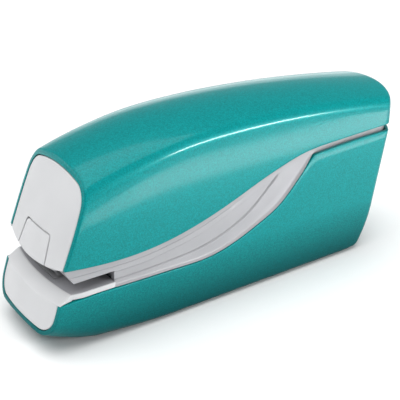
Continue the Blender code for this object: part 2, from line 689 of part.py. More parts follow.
def bore(obj, axis, radius=SHAFT_RADIUS + GAP, name="bore", sides=12):
    return combine(obj, prism(circle(*axis, radius, sides), "X", -30, 30), "DIFFERENCE", name)


def compound_gear(name, axis, wheel_plane, pinion_plane, wheel_phase, pinion_phase):
    """A wheel and the pinion beside it, moulded as one."""
    wheel = add_object(name, prism(gear_outline(axis, GEAR_TEETH, wheel_phase), "X", *wheel_plane), NYLON)
    pinion = prism(gear_outline(axis, PINION_TEETH, pinion_phase), "X", wheel_plane[1] - 0.5, pinion_plane[1])
    combine(wheel, pinion, "UNION", "pinion")
    bore(wheel, axis)
    return set_origin(wheel, (0, *axis))


def cam_outline():
    """A constant-velocity cam: its radius grows evenly over the working turn, and falls back over the rest."""
    rise = ARM_TRAVEL_AT_CAM
    points = []
    steps = 36
    for k in range(steps):
        turn = math.tau * k / steps
        share = turn / CAM_TURN if turn <= CAM_TURN else (math.tau - turn) / (math.tau - CAM_TURN)
        radius = CAM_LOW_RADIUS + rise * min(max(share, 0), 1)
        angle = -math.pi / 2 - turn
        points.append((CAM_AXIS[0] + radius * math.cos(angle), CAM_AXIS[1] + radius * math.sin(angle)))
    return points


def make_hammer_arm():
    y, z = ARM_PIVOT
    notch_front, notch_rear = CAM_AXIS[0] - 3.3, CAM_AXIS[0] + 3.3
    outline = [(DRIVER_Y - 1.0, ARM_TIP_Z), (DRIVER_Y + 1.4, ARM_TIP_Z), (-74, 49.4), (-22, 49.4), (-17, 45.2),
               (20, 45), (y - 3, z - 4.2), (y + 2, z - 4.6), (y + 4.6, z - 1), (y + 3.6, z + 3.4), (24, 54.4),
               (4, 54), (2, 51), (notch_rear, 51), (notch_rear, 48), (notch_front, 48), (notch_front, 51),
               (-22, 51), (-24, 54.4), (-60, 54.4), (DRIVER_Y + 1.1, 52.6)]
    arm = add_object("hammer_arm", prism(outline, "X", -2.5, 2.5), STEEL)
    bore(arm, ARM_PIVOT, name="pivot_bore")
    roller_z = CAM_AXIS[1] - CAM_LOW_RADIUS - GAP - ROLLER_RADIUS
    set_origin(arm, (0, *ARM_PIVOT))
    x_rod("cam_roller", (CAM_AXIS[0], roller_z), ROLLER_RADIUS - 0.3, -2.3, 2.3, NYLON)
    x_rod("arm_pivot_pin", ARM_PIVOT, SHAFT_RADIUS, -8.9, 8.9, STEEL)


def make_gear_train():
    """The motor's pinion, two compound gears and the cam's gear. Returns the motor's axis."""
    gear_2_axis = next_axis(CAM_AXIS, TRAIN_ANGLE)
    gear_1_axis = next_axis(gear_2_axis, 0.0)
    motor_axis = next_axis(gear_1_axis, TRAIN_ANGLE)
    plane_a, plane_b, plane_c = GEAR_PLANES
    half_pitch = math.pi / GEAR_TEETH

    outline = gear_outline(CAM_AXIS, GEAR_TEETH, TRAIN_ANGLE + half_pitch)
    cam_gear = add_object("cam_gear", prism(outline, "X", *plane_c), NYLON)
    bore(cam_gear, CAM_AXIS)
    set_origin(cam_gear, (0, *CAM_AXIS))
    cam = add_object("cam_disc", prism(cam_outline(), "X", -2.4, 2.4), STEEL)
    bore(cam, CAM_AXIS)
    set_origin(cam, (0, *CAM_AXIS))
    compound_gear("gear_2", gear_2_axis, plane_b, plane_c, math.pi + half_pitch, TRAIN_ANGLE + math.pi)
    compound_gear("gear_1", gear_1_axis, plane_a, plane_b, TRAIN_ANGLE + half_pitch, math.pi)
    for name, axis in (("cam_shaft", CAM_AXIS), ("gear_2_shaft", gear_2_axis), ("gear_1_shaft", gear_1_axis)):
        x_rod(name, axis, SHAFT_RADIUS, -8.9, 17.5, STEEL)

    outline = gear_outline(motor_axis, PINION_TEETH, TRAIN_ANGLE + math.pi)
    pinion = add_object("motor_pinion", prism(outline, "X", *plane_a), BRASS)
    set_origin(pinion, (0, *motor_axis))
    bore(pinion, motor_axis, 1.3)
    x_rod("motor_shaft", motor_axis, 1.0, -21.0, plane_a[1] + 1.0, STEEL)
    make_gearbox_plates([CAM_AXIS, gear_2_axis, gear_1_axis], motor_axis)
    return motor_axis


def make_motor(axis):
    can = []
    for y, z in circle(*axis, MOTOR_RADIUS, 24):
        can.append((y, min(max(z, axis[1] - MOTOR_FLAT), axis[1] + MOTOR_FLAT)))
    bore(add_object("motor", prism(can, "X", -18.0, 7.2), STEEL), axis, 1.4)


def make_gearbox_plates(shaft_axes, motor_axis):
    """Three plates: left and right short ones, and a long middle one that also holds the motor's nose."""
    top, low = 70.0, 40.8
    front = [(-20, 56), (-18, 48), (30, low)]
    rear = [(-14, top + 1), (-20, top - 2)]
    short = front + [(46, low), (46, 60), (40, top - 2)] + rear
    long = front + [(72, low), (72, 58), (64, top - 2)] + rear
    for name, (x0, x1) in PLATE_PLANES.items():
        outline = long if name == "mid" else short
        plate = add_object(f"gearbox_plate_{name}", prism(outline, "X", x0, x1), STEEL)
        axes = shaft_axes if name == "right" else shaft_axes + [ARM_PIVOT]
        for number, axis in enumerate(axes, 1):
            bore(plate, axis, name=f"bore_{number}")
        if name == "mid":
            bore(plate, motor_axis, 3.2, name="motor_nose")


def make_drive():
    make_motor(make_gear_train())
    make_hammer_arm()
    add_object("spring_bracket", block(-7.3, 7.3, 1.0, 9.0, 36.6, 37.6), STEEL)
    add_spring("return_spring", (0, 5.0, 37.9), "Z", 7.0, 2.2, 0.35, 4)


# ================================================================ batteries and electronics
def make_batteries():
    for number, (column, row) in enumerate(((-1, 0), (1, 0), (-1, 1), (1, 1)), 1):
        x, z = column * CELL_PITCH / 2, CELL_LOW_Z + row * CELL_PITCH
        front, rear = CELL_FRONT_Y, CELL_FRONT_Y + CELL_LENGTH
        can = prism(circle(x, z, CELL_RADIUS, 12), "Y", front, rear - 1)
        cell = add_object(f"battery_cell_{number}", can, LABEL, smooth=True)
        combine(cell, prism(circle(x, z, 2.7, 8), "Y", rear - 2, rear), "UNION", "positive_cap")
    top = CELL_LOW_Z + CELL_PITCH + CELL_RADIUS + 1.8
    box = add_object("battery_box", block(-16.4, 16.4, 6.2, 62.4, 4.0, top), DARK)
    combine(box, block(-15.1, 15.1, 7.6, 61.0, 0, top - 1.4), "DIFFERENCE", "cell_space")
    for name, y in (("contact_plate_front", 7.9), ("contact_plate_rear", 59.9)):
        add_object(name, block(-13.5, 13.5, y, y + 0.5, 6.0, top - 4), STEEL)
    half, low = BATTERY_DOOR_HALF, SHELL_BOTTOM_Z + 0.05
    door = block(-half, half, DOOR_FRONT_Y, DOOR_REAR_Y, low, low + 1.85)
    set_origin(add_object("battery_door", door, TEAL), (0, DOOR_FRONT_Y, low))


def make_electronics():
    add_object("circuit_board", block(-16.2, -14.8, -44, -2, 43, 66), BOARD)
    bevelled(add_object("paper_switch", block(-18.4, -13.0, -54.5, -48.5, 51.9, 58.5), DARK), 0.4)
    lever = [(-66.6, 30.0), (-65.0, 30.0), (-57.2, 42.6), (-56.6, 46.0), (-51.6, 48.6), (-52.2, 50.2),
             (-59.4, 47.4), (-60.6, 43.4)]
    sensor = add_object("sensor_lever", prism(lever, "X", LEVER_X, LEVER_X + 1.8), DARK)
    bore(sensor, LEVER_PIVOT, 1.1)
    set_origin(sensor, (0, *LEVER_PIVOT))
    x_rod("sensor_pin", LEVER_PIVOT, 0.8, LEVER_X - 3, LEVER_X + 4, STEEL, 8)


make_casing()
make_magazine()
make_drive()
make_batteries()
make_electronics()
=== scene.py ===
"""Looks of the battery electric stapler: fine casings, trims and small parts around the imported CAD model.

Shapes are drawn in millimetres in the CAD's frame: X across, the nose faces -Y, Z up, the desk at Z 0.
"""

import json
import math

import bmesh
import bpy
import numpy as np
from mathutils import Matrix, Vector


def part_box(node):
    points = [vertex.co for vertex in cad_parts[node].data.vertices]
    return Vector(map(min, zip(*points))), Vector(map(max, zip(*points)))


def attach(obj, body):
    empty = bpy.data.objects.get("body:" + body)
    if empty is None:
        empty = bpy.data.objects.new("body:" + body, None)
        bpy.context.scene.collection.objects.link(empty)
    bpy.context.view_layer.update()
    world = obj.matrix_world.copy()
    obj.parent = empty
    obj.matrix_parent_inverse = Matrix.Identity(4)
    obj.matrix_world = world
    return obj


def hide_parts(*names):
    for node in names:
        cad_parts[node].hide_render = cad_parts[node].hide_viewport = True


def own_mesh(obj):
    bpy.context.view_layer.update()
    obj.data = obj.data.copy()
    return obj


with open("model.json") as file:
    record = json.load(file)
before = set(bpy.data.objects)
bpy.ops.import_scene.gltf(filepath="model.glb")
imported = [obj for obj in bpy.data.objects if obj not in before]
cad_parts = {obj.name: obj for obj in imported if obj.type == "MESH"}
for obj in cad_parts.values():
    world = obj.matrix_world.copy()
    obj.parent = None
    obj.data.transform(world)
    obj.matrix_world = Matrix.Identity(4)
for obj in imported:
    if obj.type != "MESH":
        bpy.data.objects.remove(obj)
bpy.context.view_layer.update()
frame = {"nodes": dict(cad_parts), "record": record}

MM = 0.001
GAP = 0.3
SEAM = 0.5
BEVEL_SEGMENTS = 3

# ---------------------------------------------------------------- outer form, as in the CAD
HALF_WIDTH = 26.6
SHELL_WALL = 2.0
CROWN_RADIUS = 60.0
WIDEST_Z = 50.0
SIDE_RADIUS_NOSE, SIDE_RADIUS_REAR = 110, 500
LOW_SIDE_RADIUS = 1200.0
NOSE_RAKE = 0.41
NOSE_Y, NOSE_Z = -88.9, 39.2
BASE_RAKE = 0.35
BASE_FRONT_Y, BASE_FRONT_Z = -96.5, 11.2
FRONT_BOW = 0.004
REAR_Y = 97.5
REAR_BOW = 9.2
REAR_RAKE = 0.19
REAR_RAKE_Z = 60.7
REAR_TUCK, REAR_TUCK_Z = 0.011, 22.0
REAR_ROUND = 1.5
SHELL_BOTTOM_Z = 0.85
HULL_START_Y, HULL_LENGTH, HULL_RISE = -71.0, 26.0, 8.8
TAIL_START_Y, TAIL_LENGTH, TAIL_RISE = 64.0, 16.0, 3.6
EDGE_CORNER_Y = 41.7
EDGE_CORNER_ROUND = 0.3
REAR_FRAME_HALF, REAR_FRAME_INSET = 22.7, 3.0

TOP_LINE = ((-95, 67.4), (-73, 77.1), (-53, 82.5), (-34, 85.8), (-12, 87.4), (12, 87.5),
            (50, 85.5), (77, 82.8), (98, 80.1))
COVER_EDGE = ((-92, 40.1), (-77, 38.2), (-55, 37.2), (-32, 40.0), (-2, 49.1), (13, 54.8),
              (25, 58.7), (35, 61.3), (51, 62.8), (98, 64.4))
SHELL_EDGE_FRONT = ((-97, 23.2), (-88, 24.0), (-76, 24.6), (-52, 24.2), (-32, 23.8), (-17, 24.0), (-2, 27.6),
                    (13, 33.9), (22, 38.9), (34, 50.7), (41.7, 59.0))
SHELL_EDGE_REAR = ((41.7, 59.0), (64, 60.4), (98, 60.8))
PANEL_LOW = ((-92, 27.4), (-63.5, 27.6), (-46.5, 27.8), (-36.4, 28.2), (-27.4, 28.8), (-18.2, 30.2),
             (-7.4, 33.4), (3.6, 38.7), (9, 42.6), (14.5, 47.6), (22.5, 54.9))
PANEL_HIGH = ((-92, 31.6), (-63.3, 31.7), (-47.4, 32.0), (-36.3, 33.6), (-26, 35.3), (-12.9, 39.4),
              (-2.1, 43.7), (6.1, 47.4), (14.4, 51.1), (22.5, 55.1))
PANEL_TIP_Y = 22.5

SLOT_FLOOR_Z, SLOT_ROOF_Z, SLOT_END_Y = 27.2, 32.2, -63.6
INSERT_TOP_Y = -86.6
INSERT_FACE_HALF, BROW_HALF, FLOOR_FRONT_HALF = 23.6, 25.4, 25.0
BROW_Z, BROW_BOW, BROW_LIP = 22.9, 0.8, 0.25
ANVIL_POCKET = (-9.3, 9.3, -83.6, -78.2, 26.0, 30.0)
CHIN_Y, CHIN_SLOPE = -82.4, -0.62
CHANNEL_LOW_Z, CHANNEL_FRONT_Y = 32.5, -80.4
DRIVER_HALF = 6.4
NOSE_LOW_Z, NOSE_LOW_BOW = 36.2, 0.0044
DOOR_FOOT_Z, DOOR_TOP_Z = 36.0, 48.5
DOOR_TOP_HALF, DOOR_LOW_HALF = 10.6, 12.6
DOOR_CORNER = 1.6
DOOR_PLAY = 0.15

FRAME_WALL = 2.0
FRAME_SUNK, FRAME_SUNK_REAR = 1.3, 2.5
FLARE_HEIGHT, FLARE_DEPTH = 1.1, 1.12
PANEL_DEPTH = 0.45
FRAME_REAR_Y = 85.8
BATTERY_HATCH = (-15.7, 15.7, 5.2, 63.3, -5, 4)
LID_CORNER = 1.6
FEET = ((-14, -58), (14, -58), (-14, 68), (14, 68))


# ================================================================ mesh helpers
def shares(count, first=0):
    return [i / count for i in range(first, count + 1)]


def rectangle(a0, a1, b0, b1):
    return [(a0, b0), (a1, b0), (a1, b1), (a0, b1)]


def circle(a, b, radius, sides):
    steps = [math.tau * i / sides for i in range(sides)]
    return [(a + radius * math.cos(s), b + radius * math.sin(s)) for s in steps]


def prism(outline, axis, low, high):
    """A bmesh that extrudes an outline along X, Y or Z. The outline's pairs are the other two axes."""
    bm = bmesh.new()
    place = "XYZ".index(axis)
    rings = []
    for depth in (low, high):
        points = [list(pair) for pair in outline]
        for point in points:
            point.insert(place, depth)
        rings.append([bm.verts.new(point) for point in points])
    bm.faces.new(rings[0])
    bm.faces.new(rings[1][::-1])
    for i in range(len(outline)):
        j = (i + 1) % len(outline)
        bm.faces.new((rings[0][i], rings[0][j], rings[1][j], rings[1][i]))
    return bm


def block(x0, x1, y0, y1, z0, z1):
    return prism(rectangle(y0, y1, z0, z1), "X", x0, x1)


def grid_faces(bm, rows):
    """Fills the quads between successive rows of vertices."""
    for low, high in zip(rows, rows[1:]):
        for j in range(len(low) - 1):
            corners = []
            for vert in (low[j], low[j + 1], high[j + 1], high[j]):
                if vert not in corners:
                    corners.append(vert)
            if len(corners) > 2:
                bm.faces.new(corners)


def weigh(bm, chain, weight):
    """Gives the edges along a chain of vertices a bevel weight."""
    layer = bm.edges.layers.float.get("bevel_weight_edge") or bm.edges.layers.float.new("bevel_weight_edge")
    for a, b in zip(chain, chain[1:]):
        edge = bm.edges.get((a, b))
        if edge:
            edge[layer] = weight


def thicken(bm, shift, weight=1.0):
    """Turns an open sheet into a closed plate. Its front rim takes a bevel weight."""
    layer = bm.edges.layers.float.get("bevel_weight_edge") or bm.edges.layers.float.new("bevel_weight_edge")
    front, rim = list(bm.faces), [edge for edge in bm.edges if edge.is_boundary]
    back = {vert: bm.verts.new(vert.co + Vector(shift)) for vert in list(bm.verts)}
    for face in front:
        bm.faces.new([back[vert] for vert in reversed(face.verts)])
    for edge in rim:
        a, b = edge.verts
        bm.faces.new((a, b, back[b], back[a]))
        edge[layer] = weight
    return bm


def join(*parts):
    """One bmesh that holds several closed ones."""
    whole = bmesh.new()
    for part in parts:
        mesh = bpy.data.meshes.new("part")
        part.to_mesh(mesh)
        part.free()
        whole.from_mesh(mesh)
        bpy.data.meshes.remove(mesh)
    return whole


def turned(profile, axis, centre, sides=48):
    """A solid turned about an axis through a point. The profile is (radius, along) pairs from axis to axis."""
    bm = bmesh.new()
    rings = []
    for radius, along in profile:
        if radius == 0:
            ring = [bm.verts.new(oriented(0, 0, along, axis, centre))] * (sides + 1)
        else:
            ring = [bm.verts.new(oriented(a, b, along, axis, centre)) for a, b in circle(0, 0, radius, sides)]
            ring.append(ring[0])
        rings.append(ring)
    grid_faces(bm, rings)
    return bm


def oriented(a, b, along, axis, centre):
    point = {"X": (along, a, b), "Y": (a, along, b), "Z": (a, b, along)}[axis]
    return [p + c for p, c in zip(point, centre)]


def coil(base, axis, length, radius, wire, turns):
    """A compression spring of round wire, with closed end turns."""
    per_turn, sides = 28, 10
    bm = bmesh.new()
    rings = []
    steps = turns * per_turn
    for i in range(steps + 1):
        share = i / steps
        angle = math.tau * share * turns
        even = share - 0.045 * math.sin(math.tau * share)
        along = wire + (length - 2 * wire) * even
        ring = []
        for a, b in circle(0, 0, wire, sides):
            out = radius + a
            point = (out * math.cos(angle), out * math.sin(angle), along + b)
            ring.append(bm.verts.new(oriented(*point, axis, base)))
        rings.append(ring + [ring[0]])
    grid_faces(bm, rings)
    bm.faces.new(rings[0][:-1])
    bm.faces.new(rings[-1][:-1])
    return bm


def node_box(name):
    """A CAD node's box in millimetres, as x0, y0, z0, x1, y1, z1."""
    low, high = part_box(name)
    return [v / MM for v in (*low, *high)]


def make_object(name, bm):
    bmesh.ops.recalc_face_normals(bm, faces=bm.faces)
    if bm.calc_volume(signed=True) < 0:
        bmesh.ops.reverse_faces(bm, faces=bm.faces)
    bmesh.ops.scale(bm, vec=(MM, MM, MM), verts=bm.verts)
    mesh = bpy.data.meshes.new(name)
    bm.to_mesh(mesh)
    bm.free()
    obj = bpy.data.objects.new(name, mesh)
    bpy.context.scene.collection.objects.link(obj)
    return obj


def settle(obj):
    """Applies the modifiers."""
    bpy.context.view_layer.update()
    graph = bpy.context.evaluated_depsgraph_get()
    mesh = bpy.data.meshes.new_from_object(obj.evaluated_get(graph))
    old = obj.data
    obj.modifiers.clear()
    obj.data = mesh
    bpy.data.meshes.remove(old)


def piece(name, bm, body, slot, stands_for=(), look=None, bevel=None, by_angle=None, cuts=(), adds=(), sharp=38):
    """Makes a finished piece: bevelled, cut, shaded, and riding on its body. Its look is its slot's by default."""
    obj = make_object(name, bm)
    helpers = []
    for operation, shapes in (("UNION", adds), ("DIFFERENCE", cuts)):
        for shape in shapes:
            helper = make_object("helper", shape)
            helpers.append(helper)
            modifier = obj.modifiers.new("shape", "BOOLEAN")
            modifier.operation = operation
            modifier.object = helper
    if bevel:
        modifier = obj.modifiers.new("edges", "BEVEL")
        modifier.width = bevel * MM
        modifier.segments = BEVEL_SEGMENTS
        modifier.limit_method = "ANGLE" if by_angle else "WEIGHT"
        if by_angle:
            modifier.angle_limit = math.radians(by_angle)
        else:
            obj.modifiers.move(len(obj.modifiers) - 1, 0)
    settle(obj)
    for helper in helpers:
        bpy.data.objects.remove(helper)
    obj.data.materials.clear()
    obj.data.materials.append(LOOKS[look or slot])
    obj.data.shade_smooth()
    obj.data.set_sharp_from_angle(angle=math.radians(sharp))
    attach(obj, body)
    if stands_for:
        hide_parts(*stands_for)
    return obj


# ================================================================ curves of the outer form
def smooth_curve(points):
    """A natural cubic spline through a few (y, z) points, for single values or arrays."""
    knots = np.array(points, float)
    gaps = np.diff(knots[:, 0])
    slopes = np.diff(knots[:, 1]) / gaps
    count = len(knots)
    system = np.eye(count)
    right = np.zeros(count)
    for i in range(1, count - 1):
        system[i, i - 1 : i + 2] = gaps[i - 1], 2 * (gaps[i - 1] + gaps[i]), gaps[i]
        right[i] = 6 * (slopes[i] - slopes[i - 1])
    bends = np.linalg.solve(system, right)

    def height(y):
        i = np.clip(np.searchsorted(knots[:, 0], y) - 1, 0, count - 2)
        a, b, gap = y - knots[i, 0], knots[i + 1, 0] - y, gaps[i]
        cubic = (bends[i] * b**3 + bends[i + 1] * a**3) / (6 * gap)
        low = knots[i, 1] / gap - bends[i] * gap / 6
        high = knots[i + 1, 1] / gap - bends[i + 1] * gap / 6
        return cubic + low * b + high * a

    return height


def blend(y, start, end):
    share = np.clip((y - start) / (end - start), 0.0, 1.0)
    return share * share * (3 - 2 * share)


top_line = smooth_curve(TOP_LINE)
cover_edge = smooth_curve(COVER_EDGE)
shell_edge_front = smooth_curve(SHELL_EDGE_FRONT)
shell_edge_rear = smooth_curve(SHELL_EDGE_REAR)
panel_low_line = smooth_curve(PANEL_LOW)
panel_high_line = smooth_curve(PANEL_HIGH)


def shell_edge(y):
    """The lower shell's top edge, with its upper corner a little rounded."""
    front = shell_edge_front(np.minimum(y, EDGE_CORNER_Y)) + 1.15 * np.maximum(y - EDGE_CORNER_Y, 0.0)
    rear = shell_edge_rear(np.maximum(y, EDGE_CORNER_Y)) - 0.06 * np.maximum(EDGE_CORNER_Y - y, 0.0)
    lower, apart = np.minimum(front, rear), np.abs(front - rear)
    return lower - EDGE_CORNER_ROUND * np.log1p(np.exp(-apart / EDGE_CORNER_ROUND))


def hull_line(y):
    bow = np.maximum(HULL_START_Y - y, 0.0) / HULL_LENGTH
    tail = np.maximum(y - TAIL_START_Y, 0.0) / TAIL_LENGTH
    return SHELL_BOTTOM_Z + HULL_RISE * bow**1.6 + TAIL_RISE * tail**3


def upper_side_radius(y):
    """The cover's sides bulge at the nose and flatten towards the rear."""
    return SIDE_RADIUS_NOSE + (SIDE_RADIUS_REAR - SIDE_RADIUS_NOSE) * blend(y, -80, -20)


def side_x(y, z, inset=0.0):
    """Half the width of the body at a height, inset from the outer skin."""
    radius = np.where(z > WIDEST_Z, upper_side_radius(y), LOW_SIDE_RADIUS)
    return HALF_WIDTH - radius + np.sqrt((radius - inset) ** 2 - (z - WIDEST_Z) ** 2)


def nose_y(x, z):
    return NOSE_Y + NOSE_RAKE * (z - NOSE_Z) + FRONT_BOW * x * x


def base_front_y(x, z):
    return BASE_FRONT_Y + BASE_RAKE * (z - BASE_FRONT_Z) + FRONT_BOW * x * x


def rear_y(x, z):
    lean = REAR_RAKE * np.maximum(REAR_RAKE_Z - z, 0.0) + REAR_TUCK * np.maximum(REAR_TUCK_Z - z, 0.0) ** 2
    return REAR_Y - lean - REAR_BOW * np.abs(x / HALF_WIDTH) ** 3


def arch_point(part, share, y, inset):
    """Points on the right half of the cover's sections: up the side, round the shoulder, over the crown."""
    side_radius = upper_side_radius(y)
    shoulder = 12 - 5 * blend(y, -75, -20)
    side_cx = HALF_WIDTH - side_radius
    crown_cz = top_line(y) - CROWN_RADIUS
    dx, dz = -side_cx, crown_cz - WIDEST_Z
    distance = np.hypot(dx, dz)
    near, far = side_radius - shoulder, CROWN_RADIUS - shoulder
    along = (near**2 - far**2 + distance**2) / (2 * distance)
    off = np.sqrt(near**2 - along**2)
    ux, uz = dx / distance, dz / distance
    off = np.where(uz * along + off * ux < 0, -off, off)
    cx, cz = side_cx + along * ux - off * uz, WIDEST_Z + along * uz + off * ux
    low_angle = np.arctan2(cz - WIDEST_Z, cx - side_cx)
    high_angle = np.arctan2(cz - crown_cz, cx)
    if part == "side":
        top = WIDEST_Z + np.sin(low_angle) * (side_radius - inset)
        z = cover_edge(y) + share * (top - cover_edge(y))
        return side_x(y, z, inset), z
    if part == "shoulder":
        angle = low_angle + share * (high_angle - low_angle)
        return cx + (shoulder - inset) * np.cos(angle), cz + (shoulder - inset) * np.sin(angle)
    angle = high_angle + share * (math.pi / 2 - high_angle)
    return (CROWN_RADIUS - inset) * np.cos(angle), crown_cz + (CROWN_RADIUS - inset) * np.sin(angle)


def keel_point(part, share, y, inset):
    """Points on the right half of the lower shell's sections: the side, the bilge, the flat bottom."""
    radius = 2.6 + 8.4 * (1 - blend(y, -97, -35))
    turn_z = hull_line(y) + radius
    if part == "side":
        z = shell_edge(y) + share * (turn_z - shell_edge(y))
        return side_x(y, z, inset), z
    turn_x = side_x(y, turn_z) - radius
    if part == "bilge":
        angle = share * math.pi / 2
        return turn_x + (radius - inset) * np.cos(angle), turn_z - (radius - inset) * np.sin(angle)
    return turn_x * (1 - share), hull_line(y) + inset


def skin(section, keys, stations, front, inset, rounding):
    """Rows of points from the front face to the rear face. Stations past 1 turn the rear corner."""
    places = np.array(stations, float)
    turn = np.clip(places - 1, 0, 1) * math.pi / 2
    places = np.minimum(places, 1.0)
    insets = inset + rounding * (1 - np.cos(turn))
    columns = []
    for key in keys:
        y = front(0, 40) + places * (rear_y(0, 40) - front(0, 40))
        for _ in range(16):
            x, z = section(*key, y, insets)
            rear = rear_y(x, z) - inset - rounding
            y = front(x, z) + places * (rear - front(x, z)) + rounding * np.sin(turn)
        columns.append(np.stack([x, y, z], axis=-1))
    return np.stack(columns, axis=1)


def shell_mesh(section, halves, middle, stations, front):
    """An open-fronted shell with a closed rear and soft rear corners. Its rims take bevel weights."""
    bm = bmesh.new()
    skins = []
    for inset, rounding in ((0.0, REAR_ROUND), (SHELL_WALL, 0.2)):
        rows = []
        for line in skin(section, halves + middle, stations, front, inset, rounding):
            right = [bm.verts.new(point) for point in line]
            left = [bm.verts.new((-x, y, z)) for x, y, z in line[-2::-1]]
            rows.append(right + left)
        grid_faces(bm, rows)
        last = rows[-1]
        columns = 2 * len(middle) + 1
        cap = []
        for j in range(len(halves) - 1):
            first, other = last[j], last[-1 - j]
            row = [first]
            for k in range(1, columns - 1):
                x, z = first.co.x * (1 - 2 * k / (columns - 1)), first.co.z
                row.append(bm.verts.new((x, rear_y(x, z) - inset, z)))
            cap.append(row + [other])
        start = len(halves) - 1
        cap.append(last[start : start + columns])
        grid_faces(bm, cap)
        skins.append((rows, cap[0]))
    (outer, outer_cap), (inner, inner_cap) = skins
    grid_faces(bm, [outer[0], inner[0]])
    for side in (0, -1):
        grid_faces(bm, [[row[side] for row in outer], [row[side] for row in inner]])
    grid_faces(bm, [outer_cap, inner_cap])
    for (rows, cap), weight in zip(skins, (1.0, 0.5)):
        weigh(bm, rows[0], weight)
        weigh(bm, cap, weight)
        for side in (0, -1):
            weigh(bm, [row[side] for row in rows], weight)
    return bm


# ================================================================ materials
class Look:
    """A short way to write a Principled material's nodes."""

    def __init__(self, name):
        self.material = bpy.data.materials.new(name)
        self.material.use_nodes = True
        self.tree = self.material.node_tree
        self.shader = self.tree.nodes["Principled BSDF"]
        self.place = self.node("ShaderNodeTexCoord").outputs["Object"]

    def node(self, kind, inputs=None, **settings):
        made = self.tree.nodes.new(kind)
        for key, value in settings.items():
            setattr(made, key, value)
        for key, value in (inputs or {}).items():
            self.put(made.inputs[key], value)
        return made

    def put(self, socket, value):
        if isinstance(value, bpy.types.NodeSocket):
            self.tree.links.new(value, socket)
        else:
            socket.default_value = value

    def set(self, **values):
        for key, value in values.items():
            self.put(self.shader.inputs[key.replace("_", " ")], value)
        return self

    def stretched(self, x, y, z):
        return self.node("ShaderNodeMapping", {"Vector": self.place, "Scale": (x, y, z)}).outputs["Vector"]

    def noise(self, scale, detail=3.0, place=None):
        inputs = {"Vector": place or self.place, "Scale": scale, "Detail": detail}
        return self.node("ShaderNodeTexNoise", inputs).outputs["Fac"]

    def cells(self, scale):
        """A random value for each small cell."""
        colour = self.node("ShaderNodeTexVoronoi", {"Vector": self.place, "Scale": scale}).outputs["Color"]
        return self.node("ShaderNodeSeparateColor", {"Color": colour}).outputs["Red"]

    def ramp(self, value, low, high, start=0.3, end=0.7):
        """Spreads a value's middle range over low to high."""
        inputs = {"Value": value, "From Min": start, "From Max": end, "To Min": low, "To Max": high}
        return self.node("ShaderNodeMapRange", inputs).outputs["Result"]

    def tint(self, factor, first, second):
        made = self.node("ShaderNodeMix", data_type="RGBA")
        self.put(made.inputs[0], factor)
        for socket, value in ((made.inputs[6], first), (made.inputs[7], second)):
            self.put(socket, (*value, 1) if isinstance(value, tuple) else value)
        return made.outputs[2]

    def bump(self, height, depth_mm, strength=1.0):
        inputs = {"Height": height, "Distance": depth_mm * MM, "Strength": strength}
        self.set(Normal=self.node("ShaderNodeBump", inputs).outputs["Normal"])
        return self


def pearl_paint():
    """Teal pearl lacquer: fine flakes under a clear coat, with painted shade that darkens the colour towards the
    floor, where the coat is also thinned.
    """
    look = Look("pearl_teal")
    flakes = look.cells(2600)
    clouds = look.noise(60, 2)
    height = look.node("ShaderNodeSeparateXYZ", {"Vector": look.place}).outputs["Z"]
    # Painted shade: the colour blends from the lit teal above about 27 mm down to a darker copy at the floor,
    # standing in for the shade near the floor.
    painted_shade_teal = look.tint(flakes, (0.0, 0.055, 0.058), (0.0, 0.08, 0.083))
    lit_teal = look.tint(flakes, (0.0, 0.185, 0.19), (0.001, 0.285, 0.285))
    colour = look.tint(look.ramp(height, 0, 1, 0.002, 0.027), painted_shade_teal, lit_teal)
    look.set(Base_Color=colour, Metallic=0.08, Roughness=look.ramp(clouds, 0.36, 0.39))
    # The coat is thinned towards the floor as part of the same painted shade, so it reflects less there.
    look.set(Specular_IOR_Level=0.06, Coat_Weight=look.ramp(height, 0.1, 0.5, 0.004, 0.03))
    look.set(Coat_Roughness=0.12, Coat_IOR=1.28)
    return look.bump(flakes, 0.004).material


def moulded(name, dark, light, roughness, grain=2200, depth=0.006):
    """Fine-textured moulded plastic."""
    look = Look(name)
    texture = look.noise(grain, 2)
    clouds = look.noise(45, 2)
    look.set(Base_Color=look.tint(look.ramp(clouds, 0, 1), dark, light))
    look.set(Roughness=look.ramp(texture, roughness - 0.05, roughness + 0.06))
    return look.bump(texture, depth).material


def drawn_metal(name, colour, dark, roughness, along=(900, 25, 900)):
    """Metal with fine lines from rolling or drawing."""
    look = Look(name)
    lines = look.noise(1.0, 3, look.stretched(*along))
    look.set(Base_Color=look.tint(look.ramp(lines, 0, 1), dark, colour), Metallic=1.0)
    look.set(Roughness=look.ramp(lines, roughness - 0.07, roughness + 0.08))
    return look.bump(lines, 0.004).material


def cell_sleeve():
    """The batteries' printed shrink sleeve, dark with a copper-coloured end band."""
    look = Look("cell_sleeve")
    along = look.node("ShaderNodeSeparateXYZ", {"Vector": look.place}).outputs["Y"]
    band = look.node("ShaderNodeMath", {0: along, 1: 0.0468}, operation="GREATER_THAN").outputs[0]
    fine = look.noise(900, 2)
    look.set(Base_Color=look.tint(band, (0.02, 0.022, 0.026), (0.45, 0.20, 0.09)), Metallic=0.35)
    return look.set(Roughness=look.ramp(fine, 0.24, 0.34), Coat_Weight=0.4).bump(fine, 0.004).material


def solder_mask():
    """A green board with faint copper tracks under the lacquer."""
    look = Look("board_green")
    turned_place = look.node("ShaderNodeMapping", {"Vector": look.place, "Rotation": (0, math.pi / 2, 0)})
    tracks = look.node("ShaderNodeTexBrick", {"Vector": turned_place.outputs["Vector"], "Scale": 220.0,
                                             "Mortar Size": 0.03}).outputs["Fac"]
    look.set(Base_Color=look.tint(tracks, (0.01, 0.13, 0.05), (0.04, 0.30, 0.12)), Roughness=0.34)
    return look.bump(tracks, 0.02).material


